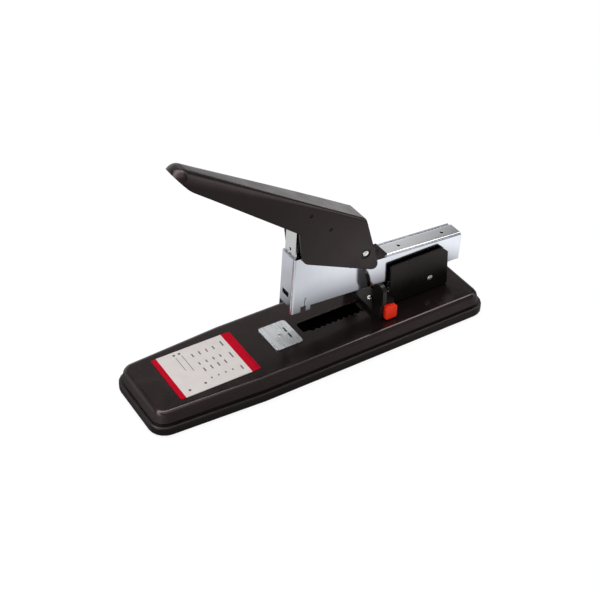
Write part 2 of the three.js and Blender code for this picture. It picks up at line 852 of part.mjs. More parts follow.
function handlePin() {
  return domedPin(pivotX, pivotHeight, handlePinRadius, handleHalf + handlePinProud, 0.8);
}

function yokeWebTop() {
  return channelBottom - seatGap - railSheet - seatGap;
}

function yokeWebBottom() {
  return yokeWebTop() - yokeWeb;
}

// The yoke under the channel's rear end turns on the hinge pin.
function magazineYoke() {
  const side = rounded([
    [yokeFront, yokeWebBottom(), 2], [-9, yokeBottom, 6], [8, yokeBottom, 6], [yokeRear, 4, 4],
    [yokeRear, yokeTop, 4], [yokeFront, yokeTop, 4],
  ], 4);
  const wide = yokeOuter + 1;
  return cut(
    plate(side, -yokeOuter, yokeOuter),
    block(yokeFront - 1, yokeRear + 1, -yokeInner, yokeInner, yokeWebTop(), yokeTop + 1),
    block(yokeFront - 1, yokeRear + 1, -yokeInner, yokeInner, yokeBottom - 1, yokeWebBottom()),
    acrossY(0, 0, hingePinRadius + pinPlay, -wide, wide),
  );
}

// ---------------------------------------------------------------- staple pusher

function endCap() {
  const half = channelHalf - channelSheet - seatGap;
  const top = channelTop - channelSheet - seatGap;
  const outline = rectangle(-half, half, channelBottom + seatGap, top, 1);
  return cut(
    run(outline, capFront, channelRear - 0.2),
    alongX(0, rodHeight, rodRadius + pinPlay, capFront - 1, channelRear - 3),
  );
}

function pusherRod() {
  return alongX(0, rodHeight, rodRadius, railFront + pusherLength / 2, channelRear - 3 - seatGap);
}

// A sheet shoe over the rail with a block inside it that slides on the rod.
function staplePusher() {
  const front = railFront + slideGap;
  const rear = front + pusherLength;
  const skirt = railHalf + 0.15;
  const under = railTop + seatGap;
  const wide = skirt + pusherSheet;
  const outside = rectangle(-wide, wide, channelBottom + 3, under + pusherSheet);
  const inside = rectangle(-skirt, skirt, channelBottom + 2, under);
  const inner = railHalf - railSheet - slideGap;
  const core = block(front, front + 16, -inner, inner, rodHeight - 6, under + 0.1);
  return cut(
    join(cut(run(outside, front, rear), run(inside, front - 1, rear + 1)), core),
    alongX(0, rodHeight, rodRadius + pinPlay, front - 1, rear + 1),
  );
}

function pusherSpring() {
  const front = railFront + slideGap + 16 + seatGap + pusherWire / 2;
  const rear = capFront - seatGap - pusherWire / 2;
  return wire(curveThrough((share) => {
    const angle = share * pusherTurns * 2 * Math.PI;
    const y = pusherCoilRadius * Math.cos(angle);
    const z = rodHeight + pusherCoilRadius * Math.sin(angle);
    return new THREE.Vector3(front + share * (rear - front), y, z);
  }, pusherTurns * 8), pusherWire / 2, pusherTurns * 9, 4);
}

// ---------------------------------------------------------------- driver

function driverBlade() {
  const outline = rounded([
    [-bladeTipHalf, bladeBottom], [bladeTipHalf, bladeBottom],
    [bladeTipHalf, bladeShoulder, 0.5], [bladeHalf, bladeShoulder + 2, 0.5],
    [bladeHalf, bladeTop, 2.5], [-bladeHalf, bladeTop, 2.5],
    [-bladeHalf, bladeShoulder + 2, 0.5], [-bladeTipHalf, bladeShoulder, 0.5],
  ], 3);
  return cut(
    run(outline, bladeFront, bladeBack),
    alongX(0, bladeHoleHeight, bladeHoleRadius, bladeFront - 1, bladeBack + 1),
    block(bladeFront - 1, bladeFront + 0.5, -0.8, 0.8, headTop - 4, bladeHoleHeight - 3),
  );
}

// A bent plate behind the blade; its two ears hold the drive pin.
function driverCarrier() {
  const web = rectangle(-bladeHalf, bladeHalf, carrierBottom, carrierTop);
  const ear = rounded([
    [carrierBack - 0.2, carrierBottom], [drivePinX + 4.3, carrierBottom, 3],
    [drivePinX + 4.3, drivePinHeight + 5, 3], [carrierBack - 0.2, carrierTop],
  ], 3);
  const wide = bladeHalf + 1;
  const ears = bothSides((side) => sidePlate(ear, bladeHalf - carrierFlange, bladeHalf, side));
  return cut(
    join(run(web, carrierFront, carrierBack), ears),
    acrossY(drivePinX, drivePinHeight, drivePinRadius + pinPlay, -wide, wide),
    alongX(0, bladeHoleHeight, bladeHoleRadius, carrierFront - 1, carrierBack + 1),
  );
}

function drivePin() {
  return acrossY(drivePinX, drivePinHeight, drivePinRadius, -bladeHalf - 0.1, bladeHalf + 0.1);
}

// ---------------------------------------------------------------- handle

// The side outline of the pressed handle: deep skirts round the pivot, a waist, a slim grip.
function handleSide() {
  const grip = new THREE.QuadraticBezierCurve(
    new THREE.Vector2(...gripStart),
    new THREE.Vector2(...gripBend),
    new THREE.Vector2(0.2 - handleLength, noseRimHeight),
  ).getPoints(8).map((at) => [at.x, at.y]);
  return rounded([
    [handleRearTop, handleTop, 2],
    [...skirtRear, 5],
    [...skirtFront, 9],
    [...throatCorner, 3],
    ...grip,
    [-handleLength, handleTop, handleNoseRadius],
  ]);
}

function handleShell() {
  const deep = 40;
  const long = 60;
  const inner = handleHalf - handleSheet;
  const roof = handleTop - handleSheet;
  const filletedEnd = (half, top, fillet) => rounded([
    [-half, -deep], [half, -deep], [half, top, fillet], [-half, top, fillet],
  ]);
  const tipPlan = (half, length, corner) => rectangle(-length, long, -half, half, corner);
  const outside = common(
    plate(handleSide(), -handleHalf, handleHalf),
    run(filletedEnd(handleHalf, handleTop, handleTopFillet), -handleLength, long),
    slab(tipPlan(handleHalf, handleLength, handleTipCorner), -deep, handleTop + 1),
  );
  const hollowSide = rounded([
    [long, -deep], [long, roof],
    [handleSheet - handleLength, roof, handleNoseRadius - handleSheet], [handleSheet - handleLength, -deep],
  ]);
  const inside = common(
    plate(hollowSide, -inner, inner),
    run(filletedEnd(inner, roof, handleTopFillet - handleSheet), -handleLength, long),
    slab(tipPlan(inner, handleLength - handleSheet, handleTipCorner - handleSheet), -deep, handleTop),
  );
  const wide = handleHalf + 1;
  const pinHoles = crossPinSpots.map(([x, z]) => (
    acrossY(x, z, crossPinRadius + pinPlay, -wide, wide, 12)
  ));
  return cut(outside, inside, acrossY(0, 0, pivotHoleRadius, -wide, wide, 24), ...pinHoles);
}

// A point of the lever at a distance from the pivot and an angle above the line to the grip.
function leverPoint(reach, angle) {
  return [-reach * Math.cos(angle), reach * Math.sin(angle)];
}

// Two plates under a folded web; their forks hold the drive pin, which slides in them.
function driveLever() {
  const forkAngle = pinAngle - radians(handleTilt - magazineTilt);
  const forkHalf = drivePinRadius + forkPlay;
  const armAngle = forkAngle - (forkHalf + leverArm) / pinReach;
  const shoulderAngle = radians(12.5);
  const tipArc = Array.from({ length: 7 }, (_, i) => (
    leverPoint(leverReach, armAngle + (shoulderAngle - armAngle) * i / 6)
  ));
  const [lugX, lugZ] = crossPinSpots[1];
  const outline = rounded([
    [leverBossRadius, -leverBossRadius, leverBossRadius - 0.1],
    leverPoint(leverReach - 9, armAngle),
    ...tipArc,
    leverPoint(leverReach + 9, shoulderAngle + 0.01),
    [lugX - leverLugRadius, lugZ - leverLugRadius + 1, 3],
    [lugX - leverLugRadius, lugZ + leverLugRadius, 4],
    [lugX + 2, lugZ + leverLugRadius],
    [0, leverBossRadius + 0.5, 3],
    [leverBossRadius, leverBossRadius, leverBossRadius - 0.3],
  ], 4);
  const inner = leverHalf - leverSheet;
  const hollow = rounded([
    [20, -30], [20, 30], [-leverBossRadius - 2, 30],
    [-leverBossRadius - 2, leverBossRadius + 0.5],
    [lugX + 4, lugZ + leverLugRadius - leverSheet - 1],
    [lugX - 20, lugZ + leverLugRadius - leverSheet - 1], [lugX - 20, -30],
  ]);
  const slotDirection = new THREE.Vector2(...leverPoint(1, forkAngle));
  const slotSide = new THREE.Vector2(slotDirection.y, -slotDirection.x);
  const slotCorner = (reach, side) => slotDirection.clone().multiplyScalar(reach)
    .addScaledVector(slotSide, side * forkHalf).toArray();
  const slotStart = pinReach - 4.2 - forkHalf;
  const slot = rounded([
    [...slotCorner(slotStart, -1), forkHalf - 0.05], [...slotCorner(slotStart, 1), forkHalf - 0.05],
    slotCorner(pinReach + 12, 1), slotCorner(pinReach + 12, -1),
  ]);
  const wide = leverHalf + 1;
  const pinHoles = crossPinSpots.map(([x, z]) => (
    acrossY(x, z, crossPinRadius + pinPlay, -wide, wide, 12)
  ));
  return cut(
    plate(outline, -leverHalf, leverHalf),
    plate(hollow, -inner, inner),
    plate(slot, -wide, wide),
    acrossY(0, 0, handlePinRadius + pinPlay, -wide, wide),
    ...pinHoles,
  );
}

function ringAcross(radius, inner, outer, side) {
  const [right, left] = side > 0 ? [inner, outer] : [-outer, -inner];
  return cut(
    acrossY(0, 0, radius, right, left, 24),
    acrossY(0, 0, handlePinRadius + pinPlay, right - 1, left + 1),
  );
}

// Spacers keep the lever in the middle of the saddle.
function leverSpacer(side) {
  const cheek = saddleHalf - saddleSheet + 0.1;
  return ringAcross(handlePinRadius + 2, leverHalf + seatGap, cheek - seatGap, side);
}

// Washers fill the handle's pivot holes round the pin.
function pivotWasher(side) {
  return ringAcross(pivotHoleRadius - 0.2, saddleHalf + seatGap, handleHalf - 0.6, side);
}

function crossPin([x, z]) {
  return acrossY(x, z, crossPinRadius, 0.4 - handleHalf, handleHalf - 0.4, 12);
}

// A torsion coil round the handle pin: one leg under the lever's web, one on the saddle's floor.
function returnSpring() {
  const gripward = Math.PI - radians(handleTilt - magazineTilt);
  const start = gripward - Math.PI / 2;
  const landingAngle = radians(37);
  const sweep = returnTurns * 2 * Math.PI + (start - landingAngle);
  const half = leverHalf - leverSheet - returnWire / 2 - 0.15;
  const onCoil = (angle, y) => new THREE.Vector3(
    pivotX + returnCoilRadius * Math.cos(angle), y, pivotHeight + returnCoilRadius * Math.sin(angle),
  );
  const floor = saddleFloor + seatGap + returnWire / 2;
  const points = [];
  for (let leg = 18; leg > 0; leg -= 3) {
    const at = onCoil(start, -half);
    points.push(at.add(new THREE.Vector3(Math.cos(gripward), 0, Math.sin(gripward)).multiplyScalar(leg)));
  }
  const count = returnTurns * 12;
  for (let i = 0; i <= count; i++) {
    points.push(onCoil(start - sweep * i / count, -half + 2 * half * i / count));
  }
  const last = onCoil(landingAngle, half);
  const down = new THREE.Vector3(Math.sin(landingAngle), 0, -Math.cos(landingAngle));
  const drop = (last.z - floor) / Math.cos(landingAngle);
  for (let leg = 1; leg <= 3; leg++) {
    points.push(last.clone().addScaledVector(down, drop * leg / 3));
  }
  return wire(new THREE.CatmullRomCurve3(points), returnWire / 2, 72);
}

// ---------------------------------------------------------------- paper guide

// Two uprights stop the paper; the bar behind them slides on the cover over the slot.
function paperGuide() {
  const setBack = guideOuter - 3;
  const stepHeight = buttonBase + buttonHeight + 1.5;
  const near = rounded([
    [-setBack, guideLift], [-guideInner, guideLift], [-guideInner, guideTop, guideInnerFillet],
    [-guideOuter, guideTop, guideOuterRound], [-guideOuter, stepHeight + 2, 2], [-setBack, stepHeight, 2],
  ]);
  const far = rounded([
    [guideInner, guideLift], [guideOuter, guideLift],
    [guideOuter, guideTop, guideOuterRound], [guideInner, guideTop, guideInnerFillet],
  ]);
  const barPlan = rounded([
    [guideFront, -setBack], [guideRear, -setBack + 9, 3], [guideRear, setBack - 4, 4],
    [guideFront, guideOuter],
  ]);
  const housing = slab(
    rectangle(guideMiddle - 1, guideRear, housingFront, housingRear, 1),
    guideLift,
    buttonBase + buttonHeight,
  );
  const body = join(
    run(near, guideFront, guideMiddle),
    run(far, guideFront, guideMiddle),
    slab(barPlan, guideLift, guideBarHeight),
    housing,
  );
  const buttonRoom = block(
    buttonRear - buttonWidth - 0.5, guideRear + 1, -guideOuter - 1, housingFront, guideLift - 1, stepHeight,
  );
  const stemRoom = block(
    stemX - stemHalf - slideGap, stemX + stemHalf + slideGap,
    housingFront - 1, housingFront + stemDepth + 0.5, stemLow - slideGap, stemHigh + slideGap,
  );
  const pawlRoom = block(
    pawlX - pawlWidth / 2 - slideGap, pawlX + pawlWidth / 2 + slideGap, housingFront - 1, 0,
    guideLift - 1, guideLift + pawlSheet + 0.7,
  );
  const tabRoom = block(
    pawlX - pawlWidth / 2 - slideGap, pawlX + pawlWidth / 2 + slideGap,
    housingFront - 1, housingFront + 6, guideLift, stemLow,
  );
  const rivetHole = upZ(rivetX, 0, guideRivetShank + pinPlay, guideLift - 1, guideBarHeight + 1, 16);
  return cut(body, buttonRoom, stemRoom, pawlRoom, tabRoom, rivetHole);
}

function guideRivet() {
  const low = coverUnderside - seatGap - shoeThickness;
  return rivet(rivetX, low, guideBarHeight, guideRivetShank, guideRivetHead, 1);
}

// The shoe runs under the cover and comes up through the slot to the bar.
function guideShoe() {
  const top = coverUnderside - seatGap;
  const foot = block(
    rivetX - shoeLength / 2, rivetX + shoeLength / 2, -shoeHalf, shoeHalf, top - shoeThickness, top,
  );
  const neck = block(
    rivetX - 5.5, pawlX - pawlWidth / 2 - slideGap, slideGap - slotToothTip, slotHalfWidth - slideGap,
    top - 0.1, guideLift - 0.3,
  );
  const hole = upZ(rivetX, 0, guideRivetShank + pinPlay, top - shoeThickness - 1, baseHeight + 1, 16);
  return cut(join(foot, neck), hole);
}

function releaseButton() {
  const face = plate(
    rectangle(buttonRear - buttonWidth, buttonRear, buttonBase, buttonBase + buttonHeight, buttonCorner),
    -buttonFace,
    -buttonBack,
  );
  const stem = block(
    stemX - stemHalf, stemX + stemHalf, -buttonBack - 0.1, housingFront + stemDepth - buttonTravel,
    stemLow, stemHigh,
  );
  return join(face, stem);
}

// The pawl hangs from the button's stem and stands just clear of the slot's teeth.
function lockPawl() {
  const low = guideLift + 0.1;
  const tabFront = housingFront + 0.6;
  const half = pawlWidth / 2;
  const reach = slideGap - slotToothTip;
  const strip = block(pawlX - half, pawlX + half, tabFront, reach + 1, low, low + pawlSheet);
  const tab = block(pawlX - half, pawlX + half, tabFront, tabFront + pawlSheet, low, stemLow - 0.2);
  const tooth = block(
    pawlX - half + 0.4, pawlX + half - 0.4, reach, reach + 1, coverUnderside + 0.2, low + 0.1,
  );
  return join(strip, tab, tooth);
}

// ---------------------------------------------------------------- assembly

add(stapler, 'base_tray', 'plastic', baseTray());
add(stapler, 'base_cover', 'black', baseCover());
footSpots().forEach((spot, i) => add(stapler, `foot_${i + 1}`, 'rubber', foot(spot)));
add(stapler, 'anvil_support', 'steel', anvilSupport());
add(stapler, 'anvil_plate', 'anvil', anvilPlate());
add(stapler, 'anvil_rivet', 'steel', anvilRivet());
add(stapler, 'label_plate', 'label', labelPlate());
add(stapler, 'rear_bracket', 'black', rearBracket());
bracketRivetSpots.forEach((spot, i) => add(stapler, `bracket_rivet_${i + 1}`, 'steel', bracketRivet(spot)));
add(stapler, 'hinge_pin', 'chrome', hingePin());
add(stapler, 'lift_spring', 'steel', liftSpring());

add(magazine, 'magazine_channel', 'chrome', magazineChannel());
add(magazine, 'core_rail', 'steel', coreRail());
add(magazine, 'head_cover', 'chrome', headCover());
add(magazine, 'saddle_bracket', 'black', saddleBracket());
saddleRivetSpots.forEach((x, i) => add(magazine, `saddle_rivet_${i + 1}`, 'steel', saddleRivet(x)));
add(magazine, 'handle_pin', 'chrome', handlePin());
add(magazine, 'magazine_yoke', 'black', magazineYoke());
add(magazine, 'return_spring', 'steel', returnSpring());

add(magazine, 'magazine_end_cap', 'plastic', endCap());
add(magazine, 'pusher_rod', 'steel', pusherRod());
add(magazine, 'staple_pusher', 'steel', staplePusher());
add(magazine, 'pusher_spring', 'steel', pusherSpring());

add(magazine, 'driver_blade', 'chrome', driverBlade());
add(magazine, 'driver_carrier', 'steel', driverCarrier());
add(magazine, 'drive_pin', 'steel', drivePin());

add(handle, 'handle_shell', 'black', handleShell());
add(handle, 'drive_lever', 'steel', driveLever());
[['left', 1], ['right', -1]].forEach(([name, side]) => {
  add(handle, `lever_spacer_${name}`, 'steel', leverSpacer(side));
  add(handle, `pivot_washer_${name}`, 'plastic', pivotWasher(side));
});
crossPinSpots.forEach((spot, i) => add(handle, `cross_pin_${i + 1}`, 'steel', crossPin(spot)));

add(stapler, 'paper_guide', 'plastic', paperGuide());
add(stapler, 'guide_rivet', 'chrome', guideRivet());
add(stapler, 'guide_shoe', 'plastic', guideShoe());
add(stapler, 'release_button', 'red', releaseButton());
add(stapler, 'lock_pawl', 'steel', lockPawl());

export default stapler;
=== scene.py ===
"""Finishes and fine shapes of the heavy-duty desk stapler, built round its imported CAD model."""

import json
import math

import bmesh
import bpy
from mathutils import Matrix, Vector


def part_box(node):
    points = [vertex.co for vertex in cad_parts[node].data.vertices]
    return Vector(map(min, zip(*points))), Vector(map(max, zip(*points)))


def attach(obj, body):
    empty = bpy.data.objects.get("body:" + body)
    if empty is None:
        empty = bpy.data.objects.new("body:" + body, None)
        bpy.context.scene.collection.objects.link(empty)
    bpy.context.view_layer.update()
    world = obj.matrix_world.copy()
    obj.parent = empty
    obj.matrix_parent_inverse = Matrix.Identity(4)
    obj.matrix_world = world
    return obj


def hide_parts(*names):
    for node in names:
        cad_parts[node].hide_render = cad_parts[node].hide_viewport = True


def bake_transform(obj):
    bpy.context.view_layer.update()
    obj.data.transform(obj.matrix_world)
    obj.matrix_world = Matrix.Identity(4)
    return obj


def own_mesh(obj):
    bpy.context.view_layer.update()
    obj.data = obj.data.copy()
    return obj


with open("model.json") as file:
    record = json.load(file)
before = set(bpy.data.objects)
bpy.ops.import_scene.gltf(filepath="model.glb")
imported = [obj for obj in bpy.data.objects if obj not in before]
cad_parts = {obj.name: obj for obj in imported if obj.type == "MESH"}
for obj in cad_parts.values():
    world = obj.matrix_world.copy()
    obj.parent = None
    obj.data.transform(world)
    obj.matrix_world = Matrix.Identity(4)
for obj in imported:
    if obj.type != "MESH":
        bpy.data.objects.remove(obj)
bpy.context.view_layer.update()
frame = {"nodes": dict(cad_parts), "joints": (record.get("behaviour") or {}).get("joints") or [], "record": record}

record = frame["record"]
body_of = {node: body for body, nodes in record["behaviour"]["bodies"].items() for node in nodes}
joint_of = {joint["name"]: joint for joint in frame["joints"]}

MM = 0.001
MAGAZINE_TILT = math.radians(4)
HANDLE_TILT = math.radians(31.25)


def frame_on(joint, tilt):
    """Millimetres in the frame of a body whose origin is on a joint's pin."""
    at = Matrix.Translation(joint_of[joint]["pos_m"])
    return at @ Matrix.Rotation(tilt, 4, "Y") @ Matrix.Scale(MM, 4)


BASE = Matrix.Scale(MM, 4)
MAGAZINE = frame_on("magazine_hinge", MAGAZINE_TILT)
HANDLE = frame_on("handle_hinge", HANDLE_TILT)

# The handle, in millimetres in its own frame
HANDLE_HALF = 11.8
HANDLE_TOP = 27.5
HANDLE_SHEET = 1.3
HANDLE_REAR_TOP = -17
SKIRT_REAR = (22.9, -10.8)
SKIRT_FRONT = (-54.8, -19.5)
THROAT = (-71.7, 3.2)
GRIP_START = (-155, 12.9)
GRIP_BEND = (-179.5, 15.6)
HANDLE_TIP = -193.8
TIP_RIM = 21.3
TIP_CORNER = 8.5
TIP_NOSE = 7.5
TIP_FILLET = 8.2
PIVOT_HOLE = 4.4
CROSS_PIN_HOLE = 1.5
CROSS_PINS = ((-45.5, 12.5), (-69.7, 19.1))


# ---------------------------------------------------------------- finishes


def add_node(tree, kind, **settings):
    made = tree.nodes.new(kind)
    for name, value in settings.items():
        setattr(made, name, value)
    return made


def new_finish(name, roughness, metallic=0.0, ior=1.5):
    material = bpy.data.materials.new(name)
    material.use_nodes = True
    shader = material.node_tree.nodes["Principled BSDF"]
    shader.inputs["Roughness"].default_value = roughness
    shader.inputs["Metallic"].default_value = metallic
    shader.inputs["IOR"].default_value = ior
    return material, material.node_tree, shader


def speckle(tree, scale, detail=2.0, stretch=(1, 1, 1), tilt=0.0):
    """A noise pattern on the piece, with features about 1/scale metres across."""
    where = add_node(tree, "ShaderNodeTexCoord")
    turned = add_node(tree, "ShaderNodeMapping")
    turned.inputs["Rotation"].default_value = (0, tilt, 0)
    turned.inputs["Scale"].default_value = stretch
    noise = add_node(tree, "ShaderNodeTexNoise")
    noise.inputs["Scale"].default_value = scale
    noise.inputs["Detail"].default_value = detail
    tree.links.new(where.outputs["Object"], turned.inputs["Vector"])
    tree.links.new(turned.outputs["Vector"], noise.inputs["Vector"])
    return noise.outputs["Fac"]


def ranged(tree, value, start, stop, low, high):
    """A number that goes from low to high as a value goes from start to stop."""
    span = add_node(tree, "ShaderNodeMapRange")
    span.inputs["From Min"].default_value = start
    span.inputs["From Max"].default_value = stop
    span.inputs["To Min"].default_value = low
    span.inputs["To Max"].default_value = high
    tree.links.new(value, span.inputs["Value"])
    return span.outputs["Result"]


def between(tree, pattern, low, high):
    """A number that goes from low to high as a pattern goes from a third to two thirds."""
    return ranged(tree, pattern, 0.33, 0.67, low, high)


def worked(tree, operation, first, second):
    """Works two numbers into one; the second is a socket or a plain number."""
    made = add_node(tree, "ShaderNodeMath", operation=operation)
    tree.links.new(first, made.inputs[0])
    if isinstance(second, bpy.types.NodeSocket):
        tree.links.new(second, made.inputs[1])
    else:
        made.inputs[1].default_value = second
    return made.outputs[0]


def place_along(tree, axis, kind="Object"):
    """How far a point lies along an axis."""
    where = add_node(tree, "ShaderNodeTexCoord")
    axes = add_node(tree, "ShaderNodeSeparateXYZ")
    tree.links.new(where.outputs[kind], axes.inputs["Vector"])
    return axes.outputs[axis]


def greys_along(tree, value, levels):
    """A ramp of greys along a value, given as (place, level)."""
    ramp = add_node(tree, "ShaderNodeValToRGB")
    stops = ramp.color_ramp.elements
    for stop, (place, level) in zip(stops, (levels[0], levels[-1])):
        stop.position = place
        stop.color = (level, level, level, 1)
    for place, level in levels[1:-1]:
        stop = stops.new(place)
        stop.color = (level, level, level, 1)
    tree.links.new(value, ramp.inputs["Fac"])
    return ramp.outputs["Color"]


def either_shader(tree, factor, first, second):
    mix = add_node(tree, "ShaderNodeMixShader")
    tree.links.new(factor, mix.inputs["Fac"])
    tree.links.new(first, mix.inputs[1])
    tree.links.new(second, mix.inputs[2])
    return mix.outputs["Shader"]


def blended(tree, factor, first, second):
    mix = add_node(tree, "ShaderNodeMix", data_type="RGBA")
    mix.inputs["A"].default_value = (*first, 1)
    mix.inputs["B"].default_value = (*second, 1)
    tree.links.new(factor, mix.inputs["Factor"])
    return mix.outputs["Result"]


def raised(tree, shader, pattern, height, strength=1.0):
    bump = add_node(tree, "ShaderNodeBump")
    bump.inputs["Strength"].default_value = strength
    bump.inputs["Distance"].default_value = height
    tree.links.new(pattern, bump.inputs["Height"])
    tree.links.new(bump.outputs["Normal"], shader.inputs["Normal"])


def baked_enamel(name, dark, light, roughness, ior, wall_top=None):
    """Sprayed and baked paint: faint orange peel, and a warm gloss that wanders a little."""
    material, tree, shader = new_finish(name, roughness, ior=ior)
    shader.inputs["Specular Tint"].default_value = (1.0, 0.80, 0.79, 1)
    cloud = between(tree, speckle(tree, 26, 3), 0, 1)
    tree.links.new(blended(tree, cloud, dark, light), shader.inputs["Base Color"])
    gloss = between(tree, speckle(tree, 60, 4), roughness - 0.04, roughness + 0.05)
    if wall_top is not None:
        gloss = duller_below(tree, gloss, wall_top)
    tree.links.new(gloss, shader.inputs["Roughness"])
    raised(tree, shader, speckle(tree, 700, 2), 0.00002, 0.35)
    return material


def duller_below(tree, gloss, height):
    """Adds to a roughness under some height, where the spray falls thin on a wall."""
    fully_dull = height - 2.6 * MM
    glossy_again = height - 1.2 * MM
    dullness = ranged(tree, place_along(tree, "Z"), fully_dull, glossy_again, 0.36, 0)
    return worked(tree, "ADD", gloss, dullness)


def moulded_plastic(name, dark, light, roughness, ior=1.45, grain=0.00004):
    """Injection-moulded plastic with an etched mould's fine grain."""
    material, tree, shader = new_finish(name, roughness, ior=ior)
    shader.inputs["Specular Tint"].default_value = (1.0, 0.88, 0.86, 1)
    cloud = between(tree, speckle(tree, 45, 2), 0, 1)
    tree.links.new(blended(tree, cloud, dark, light), shader.inputs["Base Color"])
    gloss = between(tree, speckle(tree, 160, 2), roughness - 0.05, roughness + 0.06)
    tree.links.new(gloss, shader.inputs["Roughness"])
    raised(tree, shader, speckle(tree, 1400, 3), grain, 0.5)
    return material


def drawn_metal(name, dark, light, roughness, metallic=1.0, tilt=0.0, streaks=(0.04, 1, 1), height=0.00001):
    """Plated or brushed sheet whose fine streaks follow the way it was drawn."""
    material, tree, shader = new_finish(name, roughness, metallic)
    streak = speckle(tree, 900, 3, streaks, tilt)
    stain = between(tree, speckle(tree, 35, 4, (1, 1, 1), tilt), 0, 1)
    tree.links.new(blended(tree, stain, dark, light), shader.inputs["Base Color"])
    gloss = between(tree, streak, roughness - 0.02, roughness + 0.03)
    tree.links.new(gloss, shader.inputs["Roughness"])
    raised(tree, shader, streak, height, 0.12)
    return material


def printed_film(name, front_band, rear_band):
    """Pale film with a red band across each end and a plain panel between."""
    material, tree, shader = new_finish(name, 0.42, ior=1.12)
    along = place_along(tree, "X")
    after_front = worked(tree, "GREATER_THAN", along, front_band)
    before_rear = worked(tree, "LESS_THAN", along, rear_band)
    panel = worked(tree, "MULTIPLY", after_front, before_rear)
    mottle = between(tree, speckle(tree, 120, 3), 0, 1)
    paper = blended(tree, mottle, (0.74, 0.68, 0.655), (0.78, 0.72, 0.695))
    ink = blended(tree, mottle, (0.50, 0.001, 0.014), (0.55, 0.002, 0.019))
    mix = add_node(tree, "ShaderNodeMix", data_type="RGBA")
    tree.links.new(panel, mix.inputs["Factor"])
    tree.links.new(ink, mix.inputs["A"])
    tree.links.new(paper, mix.inputs["B"])
    tree.links.new(mix.outputs["Result"], shader.inputs["Base Color"])
    gloss = between(tree, speckle(tree, 300, 2), 0.36, 0.46)
    tree.links.new(gloss, shader.inputs["Roughness"])
    return material


def enamels():
    return {
        "cover_enamel": baked_enamel(
            "cover_enamel", (0.0070, 0.0045, 0.0042), (0.0095, 0.0062, 0.0058), 0.19, 1.45,
            wall_top=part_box("base_cover")[1].z,
        ),
        "handle_enamel": baked_enamel(
            "handle_enamel", (0.0085, 0.0055, 0.0052), (0.0115, 0.0078, 0.0075), 0.25, 1.385,
        ),
        "bracket_enamel": baked_enamel(
            "bracket_enamel", (0.0040, 0.0028, 0.0026), (0.0060, 0.0044, 0.0042), 0.25, 1.32,
        ),
    }


def plastics():
    return {
        "tray_plastic": moulded_plastic(
            "tray_plastic", (0.0070, 0.0048, 0.0046), (0.0095, 0.0068, 0.0066), 0.34, 1.36,
        ),
        "guide_plastic": moulded_plastic(
            "guide_plastic", (0.0050, 0.0044, 0.0040), (0.0075, 0.0066, 0.0060), 0.34, 1.38,
        ),
        "foot_rubber": moulded_plastic(
            "foot_rubber", (0.010, 0.010, 0.010), (0.016, 0.0155, 0.015), 0.85, 1.4,
        ),
        "button_red": moulded_plastic(
            "button_red", (0.95, 0.030, 0.008), (0.98, 0.036, 0.011), 0.30, 1.33, grain=0.00001,
        ),
        "print_grey": moulded_plastic(
            "print_grey", (0.10, 0.095, 0.095), (0.14, 0.13, 0.13), 0.5, 1.4, grain=0.000002,
        ),
        "print_black": moulded_plastic(
            "print_black", (0.012, 0.012, 0.012), (0.02, 0.019, 0.019), 0.5, 1.4, grain=0.000002,
        ),
    }


def metals():
    even = (1, 1, 1)
    upward = (1, 1, 0.05)
    across = (1, 0.05, 1)
    return {
        "magazine_plate": drawn_metal(
            "magazine_plate", (0.88, 0.90, 0.93), (0.94, 0.96, 0.98), 0.12, tilt=MAGAZINE_TILT,
        ),
        # The head's plating is the magazine's same plating painted darker: painted shade for the dimmer head.
        "shaded_head_plate": drawn_metal(
            "shaded_head_plate", (0.66, 0.685, 0.745), (0.71, 0.735, 0.79), 0.12, tilt=MAGAZINE_TILT,
            streaks=upward,
        ),
        "blade_steel": drawn_metal(
            "blade_steel", (0.66, 0.67, 0.66), (0.74, 0.75, 0.74), 0.26, tilt=MAGAZINE_TILT,
            streaks=(1, 1, 0.03),
        ),
        "anvil_plate": drawn_metal(
            "anvil_satin", (0.66, 0.68, 0.70), (0.75, 0.77, 0.79), 0.28, streaks=across, height=0.000004,
        ),
        # Dark steel for the anvil's hollows: painted shade in its recesses, not a finish of its own.
        "anvil_hollow_shade": drawn_metal(
            "anvil_hollow_shade", (0.05, 0.05, 0.05), (0.10, 0.10, 0.10), 0.4, streaks=even,
        ),
        "zinc_steel": drawn_metal(
            "zinc_steel", (0.40, 0.41, 0.415), (0.50, 0.505, 0.51), 0.34, streaks=even,
        ),
        "pin_chrome": drawn_metal(
            "pin_chrome", (0.80, 0.81, 0.80), (0.88, 0.89, 0.88), 0.14, streaks=even,
        ),
    }


# ---------------------------------------------------------------- making pieces


def turned_sharp(solid, sharp):
    """The edges of a solid that turn by more than an angle in degrees."""
    limit = math.radians(sharp)
    return [edge for edge in solid.edges if edge.is_manifold and edge.calc_face_angle(0) > limit]


def eased(solid, width, sharp=35, segments=2):
    """Rounds a solid's sharp edges a little, as tumbling or paint does."""
    bmesh.ops.bevel(
        solid, geom=turned_sharp(solid, sharp), offset=width, offset_type="OFFSET", segments=segments,
        profile=0.5, affect="EDGES", clamp_overlap=True, material=-1,
    )
    return solid


def finished(solid, name, finish, body, stands_for=(), subdivide=0):
    """Makes a piece of a solid in metres, with its finish and body, or no body if it will bend."""
    mesh = bpy.data.meshes.new(name)
    solid.to_mesh(mesh)
    solid.free()
    mesh.materials.append(finishes[finish])
    mesh.shade_smooth()
    made = bpy.data.objects.new(name, mesh)
    bpy.context.scene.collection.objects.link(made)
    if subdivide:
        rounding = made.modifiers.new("rounding", "SUBSURF")
        rounding.levels = subdivide
        rounding.render_levels = subdivide
    else:
        shading = made.modifiers.new("shading", "WEIGHTED_NORMAL")
        shading.keep_sharp = True
    if body:
        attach(made, body)
    if stands_for:
        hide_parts(*stands_for)
    return made


